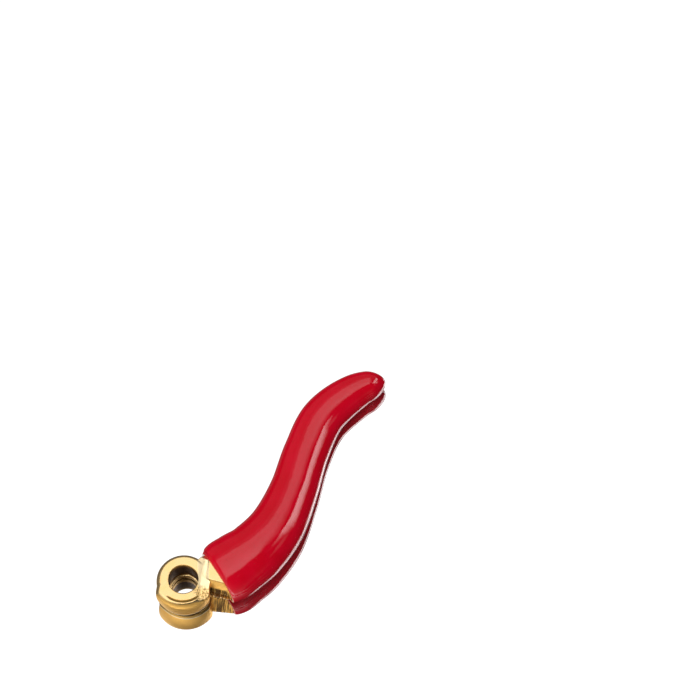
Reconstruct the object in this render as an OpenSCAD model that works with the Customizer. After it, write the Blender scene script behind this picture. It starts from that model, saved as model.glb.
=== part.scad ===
// Chili pepper pendant: one small cast metal body, with a hard glossy coat round the pepper.
// The origin is on the axis of the eye's bore, at the eye's mid height. +X runs from the eye to the
// pepper's tip, +Y to the left of it and +Z up. The pendant lies on its back, at z = -eye_lift.

/* [Eye ring] */
// Outer diameter of the eye ring
eye_od = 4.1; // [3.9:0.05:4.3]
// Diameter of the hole for a jump ring
bore_d = 2.15; // [1.6:0.05:2.4]
// Height of the eye ring along its bore
eye_h = 2.1; // [1.9:0.05:2.3]
// Height of the eye's middle above the surface that the pendant lies on
eye_lift = 1.27; // [1.2:0.01:1.35]
// Radius of the ring's outer edges
eye_round = 0.28; // [0.15:0.01:0.4]
// Radius of the bore's rounded ends
bore_round = 0.1; // [0.05:0.01:0.2]

/* [Pepper] */
// Distance from the bore's axis to the pepper's tip
reach = 22.1; // [20:0.1:24]
// Greatest width of the pepper
belly_w = 5; // [4.6:0.05:5.4]
// Height of the crown above the section's widest level, at the belly
crown_h = 1.55; // [1.35:0.05:1.7]
// Depth of the back below the section's widest level, near the eye
sink_h = 1.28; // [1.1:0.02:1.4]
// Greatest sideways swing of the S-shaped middle line
swing = 2.15; // [1.75:0.05:2.5]
// Length of the rounded nose at the tip
nose_l = 1.2; // [1:0.1:1.6]

/* [Coat] */
// Thickness of the hard coat
coat_t = 0.25; // [0.15:0.01:0.3]
// Gap between the coat and the metal
coat_gap = 0.03; // [0.02:0.01:0.05]

/* [Smoothness] */
// Sides of each cross-section
side_count = 36; // [24:4:40]
// Sections from the shoulder to the start of the nose
body_steps = 30; // [20:1:34]
// Sections round the nose
nose_steps = 8; // [5:1:10]

/* [Hidden] */

// Columns of PEPPER
ALONG = 0; // place along X, as a share of the reach
SIDE = 1; // place of the middle line along Y, as a share of the swing
HALF_W = 2; // half width, as a share of the belly's
RISE = 3; // height above the widest level, as a share of the crown's
DROP = 4; // depth below the widest level, as a share of the sink
LIFT = 5; // height of the back above the surface it lies on, as a share of the sink
PEPPER = [
  [0.090, -0.682, 0.876, 0.73, 0.775, 0.16],
  [0.107, -0.729, 0.948, 0.84, 0.930, 0.09],
  [0.134, -0.790, 0.998, 0.90, 1.000, 0.02],
  [0.174, -0.874, 0.984, 0.95, 0.985, 0.00],
  [0.246, -0.997, 0.924, 1.00, 0.945, 0.00],
  [0.357, -0.913, 0.836, 0.99, 0.840, 0.00],
  [0.492, -0.427, 0.731, 0.93, 0.710, 0.00],
  [0.628, 0.236, 0.685, 0.84, 0.670, 0.00],
  [0.763, 0.676, 0.661, 0.77, 0.700, 0.00],
  [0.899, 0.503, 0.558, 0.71, 0.750, 0.00],
  [1.000, -0.028, 0.344, 0.63, 0.800, 0.00]
];

// Columns of SHOULDER, all in millimetres but the last
OUT = 0; // distance from the bore's axis, square to the shoulder's rim
ACROSS = 1; // place of the section's middle along the rim
NECK_HALF_W = 2; // half width
NECK_RISE = 3; // height above the eye's mid plane
NECK_DROP = 4; // depth below the eye's mid plane
SQUARENESS = 5; // power of the section's outline: 2 is an ellipse
SHOULDER = [
  [1.30, -0.40, 1.50, 0.94, 0.85, 4.5],
  [1.87, -0.70, 1.85, 0.90, 0.92, 3.5]
];

// Heading of the shoulder's sections, from +X towards +Y
shoulder_turn = -16;
// Forward lean of the rim over its crown: the run for each millimetre of height
rim_lean = 0.06;
// Share of a row over which the middle line's heading is read, to either side
heading_step = 0.02;
// Power of the pepper's outline above and below its widest level
crown_power = 2.2;
back_power = 2.5;
row_last = len(PEPPER) - 1;
// The nose's start and its tip, counted in rows. The last two rows are one row apart.
tip_row_pitch = (PEPPER[row_last][ALONG] - PEPPER[row_last - 1][ALONG]) * reach;
nose_start = row_last - nose_l / tip_row_pitch;
// Steps of the small arcs that round the eye's edges
arc_steps = 6;
eye_segments = 96;

// One row of PEPPER in millimetres
function sized(row) = [
  row[ALONG] * reach, row[SIDE] * swing, row[HALF_W] * belly_w / 2, row[RISE] * crown_h, row[DROP] * sink_h,
  row[LIFT] * sink_h
];

// The row with this number, or the straight continuation past either end of the table
function row_at(i) =
  i < 0 ? 2 * sized(PEPPER[0]) - sized(PEPPER[1]) :
  i > row_last ? 2 * sized(PEPPER[row_last]) - sized(PEPPER[row_last - 1]) :
  sized(PEPPER[i]);

// Smooth curve through the rows: u counts rows
function smooth_row(u) =
  let (
    i = min(floor(u), row_last - 1),
    f = u - i,
    a = row_at(i - 1),
    b = row_at(i),
    c = row_at(i + 1),
    d = row_at(i + 2)
  )
  b + f / 2 * (c - a + f * (2 * a - 5 * b + 4 * c - d + f * (3 * b - a - 3 * c + d)));

// Heading of the middle line at u, from two places a small step before and after it
function curve_heading(u) =
  let (a = smooth_row(max(u - heading_step, 0)), b = smooth_row(min(u + heading_step, row_last)))
  atan2(b[SIDE] - a[SIDE], b[ALONG] - a[ALONG]);
// The same heading, turned to the shoulder's own at the first row
function heading(u) =
  let (blend = max(1 - u, 0))
  curve_heading(u) + blend * (shoulder_turn - curve_heading(0));

// A signed power, for the rounded outlines
function signed_pow(x, p) = sign(x) * pow(abs(x), p);

// One closed cross-section that stands square to its heading. Its crown can lean forward.
function section(middle, turn, half_w, rise, drop, upper_power, lower_power, lean = 0) = [
  for (k = [0:side_count - 1])
    let (
      angle = 360 * k / side_count,
      power = 2 / (sin(angle) >= 0 ? upper_power : lower_power),
      left = half_w * signed_pow(cos(angle), power),
      up = (sin(angle) >= 0 ? rise : drop) * signed_pow(sin(angle), power),
      ahead = lean * max(up, 0)
    )
    middle + [ahead * cos(turn) - left * sin(turn), ahead * sin(turn) + left * cos(turn), up]
];

// The pepper's section at u, drawn in by inset. Its nose closes at the tip, which is drawn in too.
function tip_at(inset) = row_last - inset / tip_row_pitch;
function nose_share(u, inset) =
  let (q = max(u - nose_start, 0) / (tip_at(inset) - nose_start))
  sqrt(max(1 - q * q, 0));
function pepper_middle(u) =
  let (row = smooth_row(u)) [row[ALONG], row[SIDE], row[DROP] + row[LIFT] - eye_lift];
function pepper_section(u, inset) =
  let (row = smooth_row(u), share = nose_share(u, inset))
  section(
    pepper_middle(u), heading(u), (row[HALF_W] - inset) * share, (row[RISE] - inset) * share,
    (row[DROP] - inset) * share, crown_power, back_power, rim_lean * max(1 - u, 0)
  );

// The pepper's sections from its rim to just before its tip
function pepper_places(inset) = concat(
  [for (k = [0:body_steps]) nose_start * k / body_steps],
  [for (k = [1:nose_steps - 1]) nose_start + (tip_at(inset) - nose_start) * sin(90 * k / nose_steps)]
);
function pepper_sections(inset) = [for (u = pepper_places(inset)) pepper_section(u, inset)];

// The shoulder's sections, from inside the eye ring to the rim
function shoulder_section(row) =
  section(
    [
      row[OUT] * cos(shoulder_turn) - row[ACROSS] * sin(shoulder_turn),
      row[OUT] * sin(shoulder_turn) + row[ACROSS] * cos(shoulder_turn),
      0
    ],
    shoulder_turn, row[NECK_HALF_W], row[NECK_RISE], row[NECK_DROP], row[SQUARENESS], row[SQUARENESS]
  );
function moved(points, shift) = [for (p = points) p + shift];
function middle_of(points) = [for (axis = [0:2]) [for (p = points) 1] * [for (p = points) p[axis]]] / len(points);

// A closed skin over a chain of sections, with a point at each end
module skin(first, sections, last) {
  count = len(sections[0]);
  last_ring = len(sections) - 1;
  end = 1 + count * len(sections);
  function at(ring, k) = 1 + ring * count + k % count;
  polyhedron(
    points = concat([first], [for (ring = sections) each ring], [last]),
    faces = concat(
      [for (k = [0:count - 1]) [0, at(0, k), at(0, k + 1)]],
      [
        for (ring = [0:last_ring - 1], k = [0:count - 1]) each [
          [at(ring, k), at(ring + 1, k), at(ring + 1, k + 1)],
          [at(ring, k), at(ring + 1, k + 1), at(ring, k + 1)]
        ]
      ],
      [for (k = [0:count - 1]) [at(last_ring, k), end, at(last_ring, k + 1)]]
    ),
    convexity = 6
  );
}

// Points of a quarter arc about a centre, from one angle to another
function arc(centre, radius, from, to) = [
  for (k = [0:arc_steps])
    let (angle = from + (to - from) * k / arc_steps)
    centre + radius * [cos(angle), sin(angle)]
];

// The eye ring before its bore is cut: a thick disc with rounded edges
module eye_disc() {
  flat_r = eye_od / 2 - eye_round;
  edge_z = eye_h / 2 - eye_round;
  rotate_extrude($fn = eye_segments)
    polygon(concat(
      [[0, -eye_h / 2]],
      arc([flat_r, -edge_z], eye_round, -90, 0),
      arc([flat_r, edge_z], eye_round, 0, 90),
      [[0, eye_h / 2]]
    ));
}

// The bore, which widens with a small round at each end and runs clear of the disc
module eye_bore() {
  mouth_r = bore_d / 2 + bore_round;
  wall_z = eye_h / 2 - bore_round;
  clear_z = eye_h;
  rotate_extrude($fn = eye_segments)
    polygon(concat(
      [[0, -clear_z], [mouth_r, -clear_z]],
      arc([mouth_r, -wall_z], bore_round, 270, 180),
      arc([mouth_r, wall_z], bore_round, 180, 90),
      [[mouth_r, clear_z], [0, clear_z]]
    ));
}

// The neck, the bare shoulder and, behind the rim's step, the core under the coat
module pepper_casting() {
  neck = [for (row = SHOULDER) shoulder_section(row)];
  back_from_rim = -coat_gap * [cos(shoulder_turn), sin(shoulder_turn), 0];
  inset = coat_t + coat_gap;
  skin(
    middle_of(neck[0]),
    concat(
      neck,
      [moved(pepper_section(0, 0), back_from_rim), moved(pepper_section(0, inset), back_from_rim)],
      [for (u = pepper_places(inset)) if (u > 0) pepper_section(u, inset)]
    ),
    pepper_middle(tip_at(inset))
  );
}

module metal_body() {
  color("gold")
    difference() {
      union() {
        eye_disc();
        pepper_casting();
      }
      eye_bore();
    }
}

module enamel_coat() {
  outside = pepper_sections(0);
  inside = pepper_sections(coat_t);
  color("crimson")
    skin(
      pepper_middle(tip_at(coat_t)),
      concat([for (k = [len(inside) - 1:-1:0]) inside[k]], outside),
      pepper_middle(tip_at(0))
    );
}

metal_body();
enamel_coat();
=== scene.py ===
"""Looks of the chili pepper pendant. Shapes are made in millimetres in the part's frame: +X from the eye
to the tip, +Z up along the bore. The metal body is meshed from a distance field, the enamel is a sweep."""
import math
from types import SimpleNamespace

import bpy
import numpy as np
from mathutils import Matrix, Vector


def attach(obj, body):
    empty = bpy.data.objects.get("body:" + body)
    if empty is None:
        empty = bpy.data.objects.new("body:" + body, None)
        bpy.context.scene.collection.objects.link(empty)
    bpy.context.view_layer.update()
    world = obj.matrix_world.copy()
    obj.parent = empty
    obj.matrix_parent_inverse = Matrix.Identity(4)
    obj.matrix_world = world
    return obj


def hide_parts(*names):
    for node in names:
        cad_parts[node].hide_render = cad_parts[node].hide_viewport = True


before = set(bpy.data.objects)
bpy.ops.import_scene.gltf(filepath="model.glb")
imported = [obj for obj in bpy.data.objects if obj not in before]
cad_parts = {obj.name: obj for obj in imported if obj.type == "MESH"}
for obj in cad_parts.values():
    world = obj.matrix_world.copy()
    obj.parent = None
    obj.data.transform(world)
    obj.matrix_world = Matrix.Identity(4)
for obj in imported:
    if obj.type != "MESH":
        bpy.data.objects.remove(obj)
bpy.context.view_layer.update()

MM = 0.001
FLOOR_Z = -1.27
# Turn from the part's frame to the photograph's, whose axes run to the right and away from its camera
PHOTO_YAW = math.radians(46)
TO_RIGHT = (math.cos(PHOTO_YAW), -math.sin(PHOTO_YAW), 0)
TO_NEAR = (-math.sin(PHOTO_YAW), -math.cos(PHOTO_YAW), 0)
TINY = 1e-12

# The pepper's sweep, with the values of the CAD source
REACH, BELLY_W, CROWN_H, SINK_H, SWING, NOSE_L = 22.1, 5.0, 1.55, 1.28, 2.15, 1.2
COAT_T, COAT_GAP = 0.25, 0.03
SHOULDER_TURN = math.radians(-16)
RIM_LEAN = 0.06
CROWN_POWER, BACK_POWER = 2.2, 2.5
ALONG, SIDE, HALF_W, RISE, DROP, LIFT = range(6)
PEPPER = np.array([
    [0.090, -0.682, 0.876, 0.73, 0.775, 0.16],
    [0.107, -0.729, 0.948, 0.84, 0.930, 0.09],
    [0.134, -0.790, 0.998, 0.90, 1.000, 0.02],
    [0.174, -0.874, 0.984, 0.95, 0.985, 0.00],
    [0.246, -0.997, 0.924, 1.00, 0.945, 0.00],
    [0.357, -0.913, 0.836, 0.99, 0.840, 0.00],
    [0.492, -0.427, 0.731, 0.93, 0.710, 0.00],
    [0.628, 0.236, 0.685, 0.84, 0.670, 0.00],
    [0.763, 0.676, 0.661, 0.77, 0.700, 0.00],
    [0.899, 0.503, 0.558, 0.71, 0.750, 0.00],
    [1.000, -0.028, 0.344, 0.63, 0.800, 0.00],
])
ROWS = PEPPER * [REACH, SWING, BELLY_W / 2, CROWN_H, SINK_H, SINK_H]
LAST = len(ROWS) - 1
TIP_PITCH = ROWS[LAST, ALONG] - ROWS[LAST - 1, ALONG]
NOSE_START = LAST - NOSE_L / TIP_PITCH


def row_at(i):
    """The row with this number, or the straight continuation past either end of the table"""
    if i < 0:
        return 2 * ROWS[0] - ROWS[1]
    if i > LAST:
        return 2 * ROWS[LAST] - ROWS[LAST - 1]
    return ROWS[i]


def smooth_row(u):
    """Smooth curve through the rows: u counts rows"""
    i = int(min(math.floor(u), LAST - 1))
    f = u - i
    a, b, c, d = (row_at(i + k) for k in (-1, 0, 1, 2))
    return b + f / 2 * (c - a + f * (2 * a - 5 * b + 4 * c - d + f * (3 * b - a - 3 * c + d)))


def curve_heading(u, step=0.02):
    """Heading of the middle line at u"""
    a, b = smooth_row(max(u - step, 0)), smooth_row(min(u + step, LAST))
    return math.atan2(b[SIDE] - a[SIDE], b[ALONG] - a[ALONG])


def heading(u):
    """The same heading, turned to the shoulder's own before the first row is reached"""
    return curve_heading(u) + max(1 - u, 0) * (SHOULDER_TURN - curve_heading(0))


def section(u, angle, inset=0.0):
    """Points of the pepper's section at u, drawn in by inset"""
    row = smooth_row(u)
    tip = LAST - inset / TIP_PITCH
    q = max(u - NOSE_START, 0) / (tip - NOSE_START)
    share = math.sqrt(max(1 - q * q, 0))
    s, c = np.sin(angle), np.cos(angle)
    power = np.where(s >= 0, 2 / CROWN_POWER, 2 / BACK_POWER)
    left = (row[HALF_W] - inset) * share * np.sign(c) * np.abs(c) ** power
    up = np.where(s >= 0, row[RISE] - inset, row[DROP] - inset) * share * np.sign(s) * np.abs(s) ** power
    ahead = RIM_LEAN * max(1 - u, 0) * np.maximum(up, 0)
    h = heading(u)
    return np.stack([
        row[ALONG] + ahead * math.cos(h) - left * math.sin(h),
        row[SIDE] + ahead * math.sin(h) + left * math.cos(h),
        row[DROP] + row[LIFT] + FLOOR_Z + up,
    ], -1)


def mesh_piece(name, points_mm, faces, normals=None):
    """A smooth-shaded object from points in millimetres, with its own point normals if they are given"""
    mesh = bpy.data.meshes.new(name)
    mesh.from_pydata((np.asarray(points_mm) * MM).tolist(), [], faces)
    mesh.validate()
    mesh.polygons.foreach_set("use_smooth", [True] * len(mesh.polygons))
    mesh.update()
    if normals is not None:
        mesh.normals_split_custom_set_from_vertices(np.asarray(normals).tolist())
    piece = bpy.data.objects.new(name, mesh)
    bpy.context.scene.collection.objects.link(piece)
    return piece


class Nodes:
    """A small helper that makes and links shader nodes"""

    def __init__(self, tree):
        self.tree = tree
        tree.nodes.clear()

    def put(self, socket, value):
        if isinstance(value, bpy.types.NodeSocket):
            self.tree.links.new(value, socket)
        else:
            socket.default_value = value

    def new(self, kind, inputs=None, **settings):
        node = self.tree.nodes.new(kind)
        for key, value in settings.items():
            setattr(node, key, value)
        for key, value in (inputs or {}).items():
            self.put(node.inputs[key], value)
        return node

    def math(self, operation, *values):
        node = self.new("ShaderNodeMath", operation=operation)
        for socket, value in zip(node.inputs, values):
            self.put(socket, value)
        return node.outputs[0]

    def joined(self, operation, values):
        """The values, joined from the first to the last by one Math node after another"""
        result = values[0]
        for value in values[1:]:
            result = self.math(operation, result, value)
        return result

    def plus(self, *values):
        return self.joined("ADD", values)

    def times(self, *values):
        return self.joined("MULTIPLY", values)

    def most(self, *values):
        return self.joined("MAXIMUM", values)

    def minus(self, a, b):
        return self.math("SUBTRACT", a, b)

    def vector(self, operation, a, b, output="Vector"):
        node = self.new("ShaderNodeVectorMath", operation=operation)
        self.put(node.inputs[0], a)
        self.put(node.inputs[1], b)
        return node.outputs[output]

    def dot(self, a, b):
        return self.vector("DOT_PRODUCT", a, b, "Value")

    def distance(self, a, b):
        return self.vector("DISTANCE", a, b, "Value")

    def split(self, vector):
        return self.new("ShaderNodeSeparateXYZ", {"Vector": vector}).outputs

    def step(self, value, low, high, to_low=0.0, to_high=1.0):
        """A soft step from to_low, where the value is low, to to_high, where it is high"""
        node = self.new("ShaderNodeMapRange", interpolation_type="SMOOTHSTEP")
        for key, x in (
                ("Value", value), ("From Min", low), ("From Max", high), ("To Min", to_low), ("To Max", to_high)):
            self.put(node.inputs[key], x)
        return node.outputs[0]

    def mix(self, factor, a, b):
        """Colour a where the factor is 0, and b where it is 1"""
        node = self.new("ShaderNodeMix", data_type="RGBA")
        # Input sockets 0, 6 and 7 are the factor and the two colours
        for socket, value in ((0, factor), (6, a), (7, b)):
            self.put(node.inputs[socket], value)
        return node.outputs[2]

    def noise(self, where, scale, detail=2.0, roughness=0.5, stretch=None):
        if stretch:
            where = self.vector("MULTIPLY", where, stretch)
        return self.new("ShaderNodeTexNoise", {
            "Vector": where, "Scale": scale, "Detail": detail, "Roughness": roughness}).outputs[0]

    def surface(self, shader):
        self.new("ShaderNodeOutputMaterial", {"Surface": shader.outputs[0]})


def material(name):
    made = bpy.data.materials.new(name)
    made.use_nodes = True
    return made, Nodes(made.node_tree)


def object_mm(n):
    """The surface point in millimetres in the part's frame"""
    place = n.new("ShaderNodeTexCoord").outputs["Object"]
    return n.vector("MULTIPLY", place, (1 / MM,) * 3)


# The rim's middle: out along the shoulder, across it, and its height
RIM = smooth_row(0)
RIM_S = RIM[ALONG] * math.cos(SHOULDER_TURN) + RIM[SIDE] * math.sin(SHOULDER_TURN)
RIM_T = -RIM[ALONG] * math.sin(SHOULDER_TURN) + RIM[SIDE] * math.cos(SHOULDER_TURN)
RIM_Z = RIM[DROP] + RIM[LIFT] + FLOOR_Z
# Level directions of the shoulder: outwards along it, and along and square to the ridge of its notch
SHOULDER_OUT = (math.cos(SHOULDER_TURN), math.sin(SHOULDER_TURN), 0)
RIDGE_TURN = SHOULDER_TURN - math.radians(45)
RIDGE_ALONG = (math.cos(RIDGE_TURN), math.sin(RIDGE_TURN), 0)
RIDGE_ACROSS = (math.sin(RIDGE_TURN), -math.cos(RIDGE_TURN), 0)

# The enamel's mesh: points round each ring, and rings along each part of its chain
AROUND = 160
INNER_NOSE_RINGS, INNER_RINGS, LIP_RINGS, OUTER_RINGS, NOSE_RINGS = 10, 90, 8, 250, 26
# The inner nose's rings, as shares of its length, keep clear of its tip and of its start
INNER_NOSE_LAST, INNER_NOSE_FIRST = 0.985, 0.12
# Radius of the coat's rounded lip
LIP = 0.08
DEEP_RED, LIT_RED, MOTTLE_RED = (0.82, 0.002, 0.018, 1), (0.87, 0.003, 0.025, 1), (0.45, 0.0, 0.01, 1)
THIN_RED = (1.0, 0.42, 0.22, 1)


def enamel_rings():
    """Closed chain of rings: from the inner tip back to the rim, over the rounded lip and out to the outer tip"""
    angle = 2 * math.pi * np.arange(AROUND) / AROUND
    rings = []
    inner_tip = LAST - COAT_T / TIP_PITCH
    for q in np.linspace(INNER_NOSE_LAST, INNER_NOSE_FIRST, INNER_NOSE_RINGS):
        rings.append(section(NOSE_START + (inner_tip - NOSE_START) * q, angle, COAT_T))
    for u in np.linspace(NOSE_START, 0, INNER_RINGS):
        rings.append(section(u, angle, COAT_T))
    # Millimetres along the middle line for each row, at the rim
    near_rim = 0.05
    pitch = np.hypot(*(smooth_row(near_rim)[:2] - smooth_row(0)[:2])) / near_rim
    for a in np.linspace(0, math.pi / 2, LIP_RINGS):
        rings.append(section(LIP * (1 - math.cos(a)) / pitch, angle, LIP * (1 - math.sin(a))))
    for u in np.linspace(LIP / pitch, NOSE_START, OUTER_RINGS)[1:]:
        rings.append(section(u, angle))
    for a in np.linspace(0, math.pi / 2, NOSE_RINGS)[1:-1]:
        rings.append(section(NOSE_START + (LAST - NOSE_START) * math.sin(a), angle))
    return rings


def enamel_piece():
    """The rings' skin, closed by a point at each end of the chain"""
    rings = enamel_rings()
    count = len(rings)
    inner_tip, outer_tip = (smooth_row(LAST - t / TIP_PITCH) for t in (COAT_T, 0))
    ends = [[r[ALONG], r[SIDE], r[DROP] + r[LIFT] + FLOOR_Z] for r in (inner_tip, outer_tip)]
    points = np.concatenate(rings + [ends])
    first, last = count * AROUND, count * AROUND + 1
    faces = []
    for k in range(AROUND):
        n = (k + 1) % AROUND
        faces.append((first, n, k))
        faces.append((last, (count - 1) * AROUND + k, (count - 1) * AROUND + n))
        for r in range(count - 1):
            faces.append((r * AROUND + k, r * AROUND + n, (r + 1) * AROUND + n, (r + 1) * AROUND + k))
    return mesh_piece("enamel_shell", points, faces)


def enamel_material():
    """Glossy red enamel, slightly cloudy and uneven, which thins out towards its rim"""
    made, n = material("red_enamel")
    place = object_mm(n)
    cloud = n.noise(place, 0.7, 3)
    mottle = n.noise(place, 5.0, 3, 0.6)
    thin_edge = n.step(n.dot(place, SHOULDER_OUT), RIM_S + 0.02, RIM_S + 0.09, 0.75, 0.0)
    colour = n.mix(n.step(cloud, 0.35, 0.65), DEEP_RED, LIT_RED)
    colour = n.mix(n.step(mottle, 0.30, 0.46, 0.12, 0.0), colour, MOTTLE_RED)
    colour = n.mix(thin_edge, colour, THIN_RED)
    peel = n.noise(place, 1.1, 1.0)
    dust = n.noise(place, 9.0, 2.0)
    height = n.plus(n.times(peel, 0.010), n.times(n.step(dust, 0.74, 0.80), 0.01))
    bump = n.new("ShaderNodeBump", {"Height": height, "Strength": 1.0, "Distance": MM})
    rough = n.step(n.noise(place, 2.0, 3), 0.3, 0.7, 0.035, 0.075)
    n.surface(n.new("ShaderNodeBsdfPrincipled", {
        "Base Color": colour, "Roughness": rough, "IOR": 1.5, "Normal": bump.outputs[0]}))
    return made


# The eye ring: its top over the bore's middle, and the bore's radius
RING_H, BORE_R = 1.05, 1.075
# Radius of the ring's barrel-shaped wall, and how much fuller it is towards the photograph's camera
WALL_R, WALL_MORE = 1.985, 0.30
# Height of its fullest level, and how fast it draws in above and below, all round and further on the near side
WALL_FULL_Z, BARREL, NEAR_BARREL = 0.35, 0.10, 0.11
# Height of the ring's underside over the floor, and its slant up to the right
LOW_H, LOW_SLANT = 0.14, 0.06
# A thin foot runs round the lower edge: how far it stands out and its height, and inside its radius and height
FOOT_OUT, FOOT_T, FOOT_BORE_R, BORE_LEDGE_T = 0.11, 0.28, 0.96, 0.42
FOOT_TOP_Z = FLOOR_Z + LOW_H + FOOT_T
# Height over which the bore widens above the ledge
LEDGE_BLEND = 0.02
# A thin groove along the near edge of the top: its radius, and its tube's radius and height over the top
GROOVE_R, GROOVE_TUBE, GROOVE_LIFT = 1.74, 0.08, 0.02
# Round the ring, facing is 1 on the side towards the photograph's camera and -1 on the far side. Each form
# starts at the first facing and is complete at the second. The wall's is later on the right.
WALL_FACING, BARREL_FACING, GROOVE_FACING, FOOT_FACING = (0.12, 0.50), (0.20, 0.80), (0.60, 0.85), (-0.25, 0.35)
WALL_LATER = 0.16
# Rounding of the ring's top edge and its growth with the facing, of its lower edge, and of the foot
TOP_ROUND, TOP_ROUND_MORE, LOW_ROUND, FOOT_ROUND = 0.30, 0.05, 0.05, 0.055

# Planes of the shoulder: outward direction and a point, as (out along the shoulder, across it, up from the floor)
SLOPE = ((0.226, -0.188, 0.955), (1.14, -0.40, 2.32))
TABLE = ((0.000, 0.000, 1.000), (2.00, -0.50, 2.15))
SIDE_FACET = ((-0.524, -0.464, 0.714), (1.85, -1.16, 2.20))
NOTCH_WALL = ((-0.680, -0.600, 0.420), (1.96, -1.94, 1.67))
NOTCH_FLOOR = ((0.200, 0.095, 0.975), (1.65, -2.43, 1.42))
RIDGE_TOP = ((0.055, -0.055, 0.997), (1.65, -2.43, 1.40))
# The outer faces below and beside these, and one inside the eye ring
FACETS = [
    ((-0.500, -0.500, -0.700), (1.65, -2.43, 1.38)),
    ((-0.080, 0.000, -1.000), (2.40, -0.70, 0.40)),
    ((-0.200, 1.000, 0.000), (1.88, 0.80, 1.20)),
    ((-0.300, 0.700, -0.650), (2.40, 0.80, 0.60)),
    ((-1.000, 0.000, 0.000), (0.60, 0.00, 1.30)),
]
# How far the shoulder stays below the ring's top
NECK_LOWER = 0.04
# At the rim the shoulder ends this far inside the coat's outline, and its face stands this far into the coat
GOLD_INSET, FACE_SHIFT = 0.04, 0.02
# The oval at the rim as a distance, and how fast it widens away from the face
OVAL_MM, OVAL_WIDENING = 1.2, 0.7
# Widths over which two surfaces blend into each other
SLOPE_BLEND, TABLE_BLEND, NOTCH_BLEND, RIDGE_BLEND, RIM_BLEND = 0.06, 0.05, 0.04, 0.01, 0.03
GROOVE_BLEND, NECK_BLEND, BORE_TOP_BLEND, BORE_LOW_BLEND = 0.02, 0.02, 0.10, 0.03

# The core under the coat: where it starts, its outline's power, and the thickness of its open end
CORE_START_X, CORE_POWER, CORE_END = 1.3, 2.3, 0.03
# Steps of the search for the nearest section, and how far along X it looks
CORE_STEPS, CORE_LOOK = 1400, 3.2

# Pitch of the metal's grid at the eye and shoulder, and along the hidden core
FINE, COARSE = 0.041, 0.30
# The fine part's range. Below FOOT_END_Z its pitch in height is halved.
GRID_X, GRID_Y, GRID_Z, FOOT_END_Z = (-2.34, 2.86), (-4.26, 3.06), (-1.31, 1.30), -0.75
# Points nearer to the eye's and shoulder's surface than this are moved onto it, in steps no longer than this
NEAR_HEAD, LONGEST_MOVE, MOVES = 0.03, 0.02, 3
# They take the field's own normal where its cosine with the mesh's is more than this
NORMAL_MATCH = 0.7


def smooth_min(a, b, k):
    h = np.maximum(k - np.abs(a - b), 0) / k
    return np.minimum(a, b) - h * h * k / 4


def smooth_max(a, b, k):
    return -smooth_min(-a, -b, k)


def along_shoulder(x, y):
    c, s = math.cos(SHOULDER_TURN), math.sin(SHOULDER_TURN)
    return x * c + y * s, -x * s + y * c


def plane_field(plane, out, across, z):
    (a, b, e), (p, q, h) = plane
    length = math.sqrt(a * a + b * b + e * e)
    return (a * (out - p) + b * (across - q) + e * (z - FLOOR_Z - h)) / length


def slab(radial, low, high, edge):
    """A disc: its distance outside the wall, and below and above its faces, with one rounding for all edges"""
    across, up = radial + edge, np.maximum(low, high) + edge
    return np.hypot(np.maximum(across, 0), np.maximum(up, 0)) + np.minimum(np.maximum(across, up), 0) - edge


def soft_step(value, low, high):
    share = np.clip((value - low) / (high - low), 0, 1)
    return share * share * (3 - 2 * share)


def ring_field(x, y, z):
    """The eye ring, whose top slopes down towards the shoulder"""
    right = x * TO_RIGHT[0] + y * TO_RIGHT[1]
    near = x * TO_NEAR[0] + y * TO_NEAR[1]
    length = np.hypot(x, y) + 1e-6
    facing = near / length
    wall = WALL_R + WALL_MORE * soft_step(facing - WALL_LATER * np.clip(right / length, 0, 1), *WALL_FACING)
    wall = wall - (BARREL + NEAR_BARREL * soft_step(facing, *BARREL_FACING)) * (z - WALL_FULL_Z) ** 2
    bottom = FLOOR_Z + LOW_H + LOW_SLANT * right
    edge = np.where(z > 0, TOP_ROUND + TOP_ROUND_MORE * facing, LOW_ROUND)
    disc = slab(length - wall, bottom - z, z - RING_H, edge)
    tube = GROOVE_TUBE * soft_step(facing, *GROOVE_FACING)
    disc = smooth_max(disc, tube - np.hypot(length - GROOVE_R, z - RING_H - GROOVE_LIFT), GROOVE_BLEND)
    disc = smooth_max(disc, plane_field(SLOPE, *along_shoulder(x, y), z), SLOPE_BLEND)
    foot_wall = length - wall - FOOT_OUT * soft_step(facing, *FOOT_FACING)
    foot = slab(foot_wall, bottom - z, z - bottom - FOOT_T, FOOT_ROUND)
    return np.minimum(disc, foot)


def bore_field(x, y, z):
    """The bore, negative outside it, with a narrower ledge at its lower end"""
    right = x * TO_RIGHT[0] + y * TO_RIGHT[1]
    over_ledge = np.clip((z - FLOOR_Z - LOW_H - LOW_SLANT * right - BORE_LEDGE_T) / LEDGE_BLEND, 0, 1)
    return FOOT_BORE_R + (BORE_R - FOOT_BORE_R) * over_ledge - np.hypot(x, y)


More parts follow.
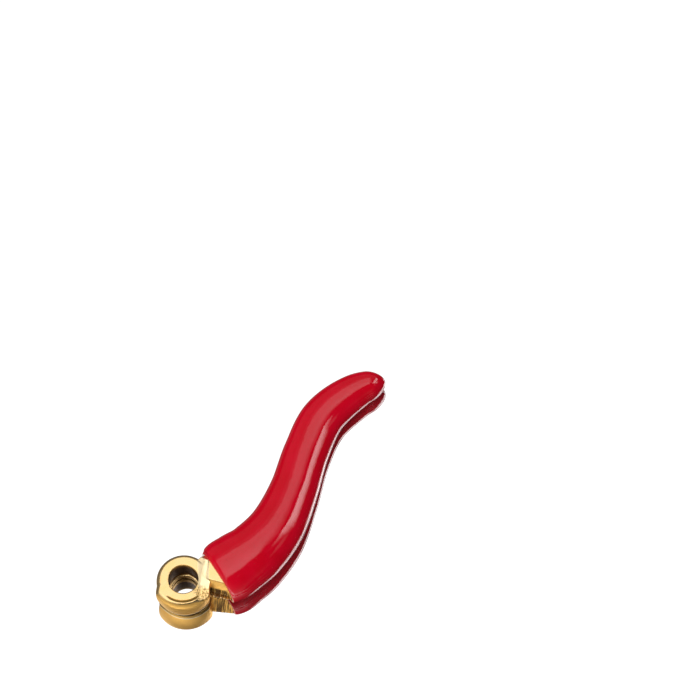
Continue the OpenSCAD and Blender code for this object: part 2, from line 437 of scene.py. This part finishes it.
def shoulder_field(x, y, z):
    """The neck: a table, a side facet, and under that a filed notch with a ridge along its outer edge"""
    out, across = along_shoulder(x, y)
    planes = (SLOPE, TABLE, SIDE_FACET, NOTCH_WALL, NOTCH_FLOOR, RIDGE_TOP)
    slope, table, side_facet, notch_wall, notch_floor, ridge_top = (
        plane_field(plane, out, across, z) for plane in planes)
    upper = smooth_min(slope, table, TABLE_BLEND)
    upper = smooth_max(upper, side_facet, TABLE_BLEND)
    upper = smooth_max(upper, notch_wall, NOTCH_BLEND)
    lower = smooth_max(notch_floor, ridge_top, RIDGE_BLEND)
    field = smooth_min(upper, lower, NOTCH_BLEND)
    field = smooth_max(field, z - (RING_H - NECK_LOWER), TABLE_BLEND)
    for plane in FACETS:
        field = smooth_max(field, plane_field(plane, out, across, z), NOTCH_BLEND)
    up = z - RIM_Z
    wide = RIM[HALF_W] - GOLD_INSET
    high = np.where(up > 0, RIM[RISE], RIM[DROP]) - GOLD_INSET
    power = np.where(up > 0, CROWN_POWER, BACK_POWER)
    oval = ((np.abs(across - RIM_T) / wide) ** power + (np.abs(up) / high) ** power) ** (1 / power)
    face = out - (RIM_S + RIM_LEAN * np.maximum(up, 0) + FACE_SHIFT)
    field = smooth_max(field, (oval - 1) * OVAL_MM + OVAL_WIDENING * face, RIM_BLEND)
    return np.maximum(field, face)


def head_field(x, y, z):
    """Distance to the eye ring and shoulder, negative inside"""
    body = smooth_min(ring_field(x, y, z), shoulder_field(x, y, z), NECK_BLEND)
    bore = bore_field(x, y, z)
    return np.where(z > 0, smooth_max(body, bore, BORE_TOP_BLEND), smooth_max(body, bore, BORE_LOW_BLEND))


def core_field(xs, ys, zs):
    """Distance to the core under the enamel, on the grid of these axes"""
    us = np.linspace(0, LAST, CORE_STEPS)
    line = np.array([smooth_row(u) for u in us])
    turn = np.array([heading(u) for u in us])
    inset = COAT_T + COAT_GAP
    tip = LAST - inset / TIP_PITCH
    field = np.full((len(xs), len(ys), len(zs)), 1.0, np.float32)
    for i, x in enumerate(xs):
        if x < CORE_START_X:
            continue
        near = np.abs(line[:, ALONG] - x) < CORE_LOOK
        sub, head, u_sub = line[near], turn[near], us[near]
        gap = (sub[:, ALONG][None] - x) ** 2 + (sub[:, SIDE][None] - ys[:, None]) ** 2
        best = gap.argmin(1)
        row, h, u = sub[best], head[best], u_sub[best]
        dx, dy = x - row[:, ALONG], ys - row[:, SIDE]
        left = -dx * np.sin(h) + dy * np.cos(h)
        ahead = dx * np.cos(h) + dy * np.sin(h)
        q = np.clip((u - NOSE_START) / (tip - NOSE_START), 0, None)
        share = np.sqrt(np.clip(1 - q * q, 1e-4, 1))
        up = zs[None] - (row[:, DROP] + row[:, LIFT] + FLOOR_Z)[:, None]
        high = (np.where(up > 0, row[:, RISE][:, None], row[:, DROP][:, None]) - inset) * share[:, None]
        wide = ((row[:, HALF_W] - inset) * share)[:, None]
        power = CORE_POWER
        oval = ((np.abs(left)[:, None] / wide) ** power + (np.abs(up) / high) ** power) ** (1 / power) - 1
        beyond = (np.abs(ahead) - CORE_END)[:, None]
        body = np.clip(oval, -1, 1) * np.minimum(wide, high)
        field[i] = np.maximum(body, np.where((u > 0)[:, None], -1, beyond))
    return field


def surface_nets(xs, ys, zs, field):
    """Quads over the zero surface of a field on a grid with these axes"""
    inside = field < 0
    cells = tuple(n - 1 for n in field.shape)
    total = sum(
        inside[i:i + cells[0], j:j + cells[1], k:k + cells[2]].astype(np.int8)
        for i in (0, 1) for j in (0, 1) for k in (0, 1))
    # A cell is crossed if some of its eight corners are inside
    active = (total > 0) & (total < 8)
    index = np.full(cells, -1, np.int64)
    cell = np.argwhere(active)
    index[active] = np.arange(len(cell))
    # Each crossed cell's point is the middle of the cuts on its twelve edges
    sums, counts = np.zeros((len(cell), 3)), np.zeros(len(cell))
    axes = (xs, ys, zs)
    for axis in range(3):
        others = [a for a in range(3) if a != axis]
        for i in (0, 1):
            for j in (0, 1):
                low = cell.copy()
                low[:, others[0]] += i
                low[:, others[1]] += j
                high = low.copy()
                high[:, axis] += 1
                a, b = field[tuple(low.T)], field[tuple(high.T)]
                cut = (a < 0) != (b < 0)
                t = np.where(cut, a / np.where(cut, a - b, 1), 0)
                for k in range(3):
                    value = axes[k][low[:, k]]
                    if k == axis:
                        value = value + t * (axes[k][high[:, k]] - value)
                    sums[:, k] += np.where(cut, value, 0)
                counts += cut
    points = sums / counts[:, None]
    # Each cut edge of the grid gets a quad between the four cells round it
    quads = []
    for axis in range(3):
        u, v = (axis + 1) % 3, (axis + 2) % 3
        low = [slice(None)] * 3
        high = [slice(None)] * 3
        low[axis], high[axis] = slice(0, -1), slice(1, None)
        change = inside[tuple(low)] != inside[tuple(high)]
        spot = np.argwhere(change)
        for side in (u, v):
            spot = spot[(spot[:, side] > 0) & (spot[:, side] < field.shape[side] - 1)]
        starts_inside = inside[tuple(spot.T)]
        around = []
        for du, dv in ((0, 0), (-1, 0), (-1, -1), (0, -1)):
            c = spot.copy()
            c[:, u] += du
            c[:, v] += dv
            around.append(index[tuple(c.T)])
        quad = np.stack(around, 1)
        quad[~starts_inside] = quad[~starts_inside][:, ::-1]
        quads.append(quad)
    return points, np.concatenate(quads)


def gradient(points, step=0.004):
    """Slope of the distance to the eye ring and shoulder at these points"""
    def at(shift):
        return head_field(*(points + shift).T)
    moves = np.eye(3) * step
    return np.stack([(at(m) - at(-m)) / (2 * step) for m in moves], 1)


def mesh_normals(points, quads):
    """Normals of the points, from the quads round each"""
    diagonal_a = points[quads[:, 2]] - points[quads[:, 0]]
    diagonal_b = points[quads[:, 3]] - points[quads[:, 1]]
    face = np.cross(diagonal_a, diagonal_b)
    normals = np.zeros_like(points)
    for k in range(4):
        np.add.at(normals, quads[:, k], face)
    return normals / (np.linalg.norm(normals, axis=1, keepdims=True) + TINY)


def metal_piece():
    """The eye, the shoulder and the core as one mesh. The eye's and shoulder's points are moved onto their field."""
    xs = np.concatenate([np.arange(*GRID_X, FINE), np.arange(GRID_X[1], REACH, COARSE)])
    ys = np.arange(*GRID_Y, FINE)
    zs = np.concatenate([np.arange(GRID_Z[0], FOOT_END_Z, FINE / 2), np.arange(FOOT_END_Z, GRID_Z[1], FINE)])
    x, y, z = xs[:, None, None], ys[None, :, None], zs[None, None, :]
    field = np.minimum(head_field(x, y, z), core_field(xs, ys, zs))
    points, quads = surface_nets(xs, ys, zs, field)
    on_head = np.abs(head_field(*points.T)) < NEAR_HEAD
    for _ in range(MOVES):
        part = points[on_head]
        slope = gradient(part)
        move = head_field(*part.T)[:, None] * slope / ((slope ** 2).sum(1, keepdims=True) + 1e-9)
        points[on_head] = part - np.clip(move, -LONGEST_MOVE, LONGEST_MOVE)
    normals = mesh_normals(points, quads)
    slope = gradient(points[on_head])
    slope /= np.linalg.norm(slope, axis=1, keepdims=True) + TINY
    agree = (slope * normals[on_head]).sum(1) > NORMAL_MATCH
    normals[np.flatnonzero(on_head)[agree]] = slope[agree]
    return mesh_piece("metal_casting", points, quads.tolist(), normals)


# Colours of the gold: polished, and satin on the walls
GOLD, SATIN_GOLD = (0.94, 0.66, 0.31, 1), (1.00, 0.60, 0.16, 1)
# Painted highlights, paler gold, where the slope and the foot's bead catch the light
SLOPE_HIGHLIGHT_GOLD, BEAD_HIGHLIGHT_GOLD = (1.00, 0.90, 0.62, 1), (1.00, 0.88, 0.60, 1)
# Darker where it is pitted, and painted shade in the filed recess, in the slit, in the notch, under the bead and in
# the groove; the filed recess and the notch are streaked with file marks
FILED_SHADE_BROWN, PIT_BROWN, NOTCH_SHADE_BROWN = (0.16, 0.09, 0.04, 1), (0.36, 0.21, 0.05, 1), (0.15, 0.08, 0.03, 1)
SLIT_SHADE_BROWN, UNDER_BEAD_SHADE_BROWN, GROOVE_SHADE_BROWN = (0.06, 0.025, 0.0, 1), (0.25, 0.13, 0.02, 1), (0.20, 0.11, 0.01, 1)
# Painted shade in the bore: darkest in its middle, lighter at its ends, and lightest on the ledge
BORE_SHADE_BROWN, BORE_END_SHADE_GOLD, LEDGE_SHADE_GOLD = (0.14, 0.09, 0.07, 1), (0.42, 0.25, 0.09, 1), (0.80, 0.50, 0.16, 1)
# Middles of three patches: the pits beside the bore, the painted shade in the slit between ring and notch, and the
# painted shade in the notch
PITS_AT, SLIT_SHADE_AT, NOTCH_SHADE_AT = (0.10, -1.80, 0.90), (0.80, -2.02, 0.28), (1.25, -2.30, 0.10)
# The painted highlight along the foot's top fades out downwards between these heights, as the painted shade under it
# fades in
BEAD_FULL_Z, BEAD_END_Z = FOOT_TOP_Z - 0.06, FOOT_TOP_Z - 0.11


def metal_places(n):
    """Shares, from 0 to 1, by which each finish, painted shade and painted highlight shows at the surface point, and
    the values that they share
    """
    place = object_mm(n)
    x, y, z = n.split(place)
    normal = n.new("ShaderNodeNewGeometry").outputs["Normal"]
    upward, to_near_side = n.split(normal)[2], n.dot(normal, TO_NEAR)
    radius = n.math("SQRT", n.plus(n.times(x, x), n.times(y, y)))
    right, near = n.dot(place, TO_RIGHT), n.dot(place, TO_NEAR)
    out, along, across = (n.dot(place, axis) for axis in (SHOULDER_OUT, RIDGE_ALONG, RIDGE_ACROSS))
    # Height with the slant of the ring's underside taken off
    level = n.minus(z, n.times(right, LOW_SLANT))
    foot = n.times(n.step(level, FOOT_TOP_Z + 0.03, FOOT_TOP_Z), n.step(radius, 1.35, 1.45))
    steep = n.most(n.step(to_near_side, 0.25, 0.45), n.step(upward, 0.55, 0.30))
    from_groove = n.math("ABSOLUTE", n.minus(radius, GROOVE_R))
    scratches = n.new("ShaderNodeCombineXYZ", {0: n.times(along, 8.0), 1: n.times(across, 0.9), 2: n.times(z, 0.9)})
    files = n.noise(scratches.outputs[0], 1.0, 2)
    return SimpleNamespace(
        place=place, z=z, upward=upward, radius=radius, near=near, files=files,
        # Painted shade inside the bore
        in_bore_shade=n.times(n.step(radius, 1.16, 1.09), n.step(upward, 0.75, 0.35)),
        satin=n.times(steep, n.minus(1.0, foot)),
        # The foot's top: rougher, with a painted highlight
        bead_and_highlight=n.times(foot, n.step(level, BEAD_END_Z, BEAD_FULL_Z)),
        # Painted shade on the foot below its highlight
        under_bead_shade=n.times(foot, n.step(level, BEAD_FULL_Z, BEAD_END_Z)),
        # Painted shade in the groove along the near top edge
        groove_shade=n.times(n.step(from_groove, 0.07, 0.03), n.step(z, 0.93, 0.98), n.step(near, 1.20, 1.45)),
        pitted=n.step(n.distance(place, PITS_AT), 0.75, 0.40),
        # Painted shade in the slit between ring and notch
        slit_shade=n.step(n.distance(place, SLIT_SHADE_AT), 0.45, 0.15, 0.0, 0.9),
        # The filed recess: file marks, and painted shade
        filed_and_shaded=n.times(n.step(out, 1.15, 1.35), n.step(z, 0.45, 0.33), n.step(across, -0.75, -0.60)),
        # Painted shade in the notch
        notch_shade=n.times(
            n.step(n.distance(place, NOTCH_SHADE_AT), 0.90, 0.30), n.step(out, 1.10, 1.30), n.step(z, 0.42, 0.30)),
        # Where the slope is rougher and gets a painted highlight
        slope_and_highlight=n.times(n.step(right, 1.00, 1.14), n.step(right, 1.95, 1.80), n.step(z, 0.55, 0.70)),
    )


def metal_material():
    """Polished tops, satin sides, painted shade in the bore, the slit, the groove and under the bead, painted
    highlights on the slope and the bead, and a filed notch with painted shade under the shoulder's side
    """
    made, n = material("gold_metal")
    at = metal_places(n)
    grain = n.noise(at.place, 14.0, 3)
    cloud = n.noise(at.place, 1.5, 2)
    pits = n.noise(at.place, 6.0, 2, 0.6)
    streaks = n.noise(at.place, 2.5, 3, 0.6, (1, 1, 9))

    # Painted shade in the bore, lighter towards its ends and on the ledge
    bore_end_lighter = n.most(n.step(at.z, 0.55, 0.95), n.step(at.z, -0.30, -0.75))
    bore_shade_tint = n.mix(bore_end_lighter, BORE_SHADE_BROWN, BORE_END_SHADE_GOLD)
    bore_shade_tint = n.mix(n.step(at.radius, 1.05, 1.00), bore_shade_tint, LEDGE_SHADE_GOLD)
    colour = GOLD
    for share, tint in (
            (at.satin, SATIN_GOLD),
            (n.times(n.step(cloud, 0.35, 0.65), 0.25), SATIN_GOLD),
            # Painted shade in the filed recess, streaked with file marks
            (n.times(at.filed_and_shaded, n.step(at.files, 0.42, 0.56, 0.92, 0.0)), FILED_SHADE_BROWN),
            (n.times(at.pitted, n.step(pits, 0.53, 0.43), 0.8), PIT_BROWN),
            # Painted shade in the slit
            (at.slit_shade, SLIT_SHADE_BROWN),
            # Painted shade in the notch, streaked with file marks
            (n.times(at.notch_shade, n.step(at.files, 0.62, 0.50), 0.85), NOTCH_SHADE_BROWN),
            # Painted shade under the bead
            (n.times(at.under_bead_shade, 0.85), UNDER_BEAD_SHADE_BROWN),
            # Painted shade in the groove
            (n.times(at.groove_shade, 0.92), GROOVE_SHADE_BROWN),
            # Painted highlight on the slope, fading towards the near side
            (n.times(at.slope_and_highlight, n.step(at.near, 0.95, 0.35), 0.5), SLOPE_HIGHLIGHT_GOLD),
            # Painted highlight on the foot's bead
            (n.times(at.bead_and_highlight, 0.7), BEAD_HIGHLIGHT_GOLD),
            # Painted shade in the bore
            (n.times(at.in_bore_shade, 0.95), bore_shade_tint)):
        colour = n.mix(share, colour, tint)

    rough = n.most(
        n.step(grain, 0.3, 0.7, 0.12, 0.20),
        n.times(n.step(at.upward, 0.985, 0.93), 0.34),
        n.times(at.slope_and_highlight, 0.36),
        n.times(at.bead_and_highlight, 0.55),
        n.times(at.pitted, 0.28),
        n.times(at.satin, n.step(grain, 0.3, 0.7, 0.48, 0.60)))
    height = n.plus(
        n.times(grain, 0.006),
        n.times(streaks, at.satin, 0.012),
        n.times(pits, at.pitted, 0.06),
        n.times(at.files, at.filed_and_shaded, 0.15))
    bump = n.new("ShaderNodeBump", {"Height": height, "Strength": 0.8, "Distance": MM})
    n.surface(n.new("ShaderNodeBsdfPrincipled", {
        "Base Color": colour, "Metallic": 1.0, "Roughness": rough, "Normal": bump.outputs[0]}))
    return made


# The photograph's camera in the part's frame: its place, what it looks at, its focal length and its roll
CAMERA = Vector((-58.6915, -74.5777, 231.86 + FLOOR_Z))
TARGET = Vector((22.6585, 3.9823, FLOOR_Z))
FOCAL_PX, IMAGE_PX, ROLL = 3400, 700, math.radians(2.56)
SENSOR_MM = 36
# Range that the camera sees, in metres
CLIP_NEAR, CLIP_FAR = 0.01, 10

# Half width of the floor, and the gap between it and the level that the part lies on
FLOOR_HALF, FLOOR_GAP = 900, 0.004


def floor_piece():
    """The glossy table: nearly a mirror, with more of a matt white in the camera's view when that is low"""
    z = FLOOR_Z - FLOOR_GAP
    corners = [(x * FLOOR_HALF, y * FLOOR_HALF, z) for x, y in ((-1, -1), (1, -1), (1, 1), (-1, 1))]
    floor = mesh_piece("floor", corners, [(0, 1, 2, 3)])
    made, n = material("floor_white")
    path = n.new("ShaderNodeLightPath").outputs
    shine = n.mix(n.step(path["Diffuse Depth"], 0, 1), (0.96, 0.96, 0.96, 1), (0.40, 0.40, 0.40, 1))
    mirror = n.new("ShaderNodeBsdfGlossy", {"Color": shine, "Roughness": 0.015})
    white = n.new("ShaderNodeBsdfDiffuse", {"Color": (0.9, 0.9, 0.9, 1)})
    slant = n.new("ShaderNodeLayerWeight", {"Blend": 0.5}).outputs["Facing"]
    share = n.plus(n.times(n.step(slant, 0.16, 0.55), path["Is Camera Ray"], 0.75), 0.015)
    n.surface(n.new("ShaderNodeMixShader", {0: share, 1: mirror.outputs[0], 2: white.outputs[0]}))
    floor.data.materials.append(made)


def studio_light():
    """Soft boxes over a dim room. Each is a soft-edged shape on a level sheet one unit above the pendant:
    x to the right of the photograph and y away from its camera."""
    world = bpy.data.worlds.new("studio")
    bpy.context.scene.world = world
    world.use_nodes = True
    n = Nodes(world.node_tree)
    direction = n.new("ShaderNodeTexCoord").outputs["Generated"]
    turned = n.new("ShaderNodeVectorRotate", {"Vector": direction, "Angle": PHOTO_YAW}, rotation_type="Z_AXIS")
    axes = n.split(turned.outputs[0])
    height = n.most(axes[2], 0.02)
    x, y = n.math("DIVIDE", axes[0], height), n.math("DIVIDE", axes[1], height)
    path = n.new("ShaderNodeLightPath").outputs
    on_matt, mirrored = path["Diffuse Depth"], path["Glossy Depth"]

    def leaning(value, other, lean):
        return n.minus(value, n.times(other, lean))

    def box(power, *edges):
        """A soft box. Each edge is a value, where it starts and ends to change, and perhaps from what to what."""
        return n.times(*(n.step(*edge) for edge in edges), power)

    # The large box above the pendant. It is brightest at its near side, and brighter on matt surfaces.
    depth = leaning(y, x, 0.45)
    main = box(
        1.0, (depth, 0.10, 0.55, 1.65, 1.14), (depth, 0.655, 0.80, 1.0, 0.20), (leaning(y, x, 0.55), -0.05, 0.05),
        (x, 0.34, 0.13), (x, -1.60, -0.15, 0.45, 1.0), (x, -2.2, -1.4), (depth, 1.05, 0.85),
        (on_matt, 0, 1, 1.0, 1.5))
    # A dimmer box that goes on to its right
    shelf = box(0.47, (x, 0.13, 0.30), (x, 0.44, 0.36), (y, 0.18, 0.30), (y, 0.95, 0.75))
    # Two bright strips further right, for the streaks along the pepper. They are dimmer on matt surfaces.
    strip_left = n.minus(x, n.step(y, 0.25, 0.40, 0.52, 0.63))
    strip = box(5.4, (strip_left, -0.05, 0.05), (x, 1.90, 0.75), (y, 0.03, 0.32), (y, 0.55, 0.45))
    slanted = leaning(x, y, 0.62)
    far_strip = box(4.6, (slanted, 0.32, 0.44), (slanted, 0.98, 0.62), (y, 0.45, 0.65), (y, 1.60, 1.30))
    strips = n.times(n.plus(strip, far_strip), n.step(on_matt, 0, 1, 1.0, 0.28))
    # Low cards at the near side and its left corner, which light the walls
    side_card = box(2.2, (x, -0.80, -1.30), (x, -16.0, -10.0), (y, -2.2, -3.5), (y, -16.0, -10.0))
    low_card = box(1.75, (y, -2.6, -5.0), (y, -16.0, -10.0), (x, 6.0, 3.0), (x, -8.0, -4.0))
    # The room's far and near sides
    far_room = box(0.18, (y, 0.55, 0.95), (y, 4.5, 2.0), (x, 2.2, 1.4))
    near_room = box(1.0, (y, -0.25, -2.2, 0.0, 0.45), (x, 1.6, 1.1))
    # A fill from the left for matt surfaces, and a strip that shows only after two mirror reflections
    left_fill = box(0.42, (x, -0.2, -0.7), (x, -9.0, -5.0), (on_matt, 0, 1))
    low_strip = box(2.8, (x, 0.25, 0.45), (x, 1.35, 1.0), (y, -0.28, -0.15), (y, 0.20, 0.10), (mirrored, 1.2, 1.8))
    # A small glow at the right
    ember = box(0.5, (x, 0.75, 0.90), (x, 1.25, 1.10), (y, -0.25, -0.10), (y, 0.10, 0.0))
    room = 0.02
    total = n.plus(main, shelf, strips, side_card, far_room, near_room, low_card, left_fill, ember, low_strip, room)
    above = n.step(axes[2], -0.02, 0.02)
    strength = n.times(total, n.plus(n.times(above, 0.9), 0.1))
    background = n.new("ShaderNodeBackground", {"Color": (1, 1, 1, 1), "Strength": strength})
    n.new("ShaderNodeOutputWorld", {"Surface": background.outputs[0]})


def photo_camera():
    """The photograph's camera"""
    data = bpy.data.cameras.new("photo_camera")
    camera = bpy.data.objects.new("photo_camera", data)
    bpy.context.scene.collection.objects.link(camera)
    data.sensor_width = SENSOR_MM
    data.lens = FOCAL_PX / IMAGE_PX * SENSOR_MM
    data.clip_start, data.clip_end = CLIP_NEAR, CLIP_FAR
    look = (TARGET - CAMERA).normalized()
    right = look.cross(Vector((0, 0, 1))).normalized()
    up = right.cross(look)
    tilted_right = math.cos(ROLL) * right - math.sin(ROLL) * up
    tilted_up = math.sin(ROLL) * right + math.cos(ROLL) * up
    turn = Matrix((tilted_right, tilted_up, -look)).transposed().to_4x4()
    camera.matrix_world = Matrix.Translation(CAMERA * MM) @ turn
    bpy.context.scene.camera = camera


enamel = enamel_piece()
enamel.data.materials.append(enamel_material())
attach(enamel, "root")
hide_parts("enamel_coat")

metal = metal_piece()
metal.data.materials.append(metal_material())
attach(metal, "root")
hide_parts("metal_body")

floor_piece()
studio_light()
photo_camera()
scene = bpy.context.scene
scene.view_settings.view_transform = "Standard"
scene.view_settings.look = "None"
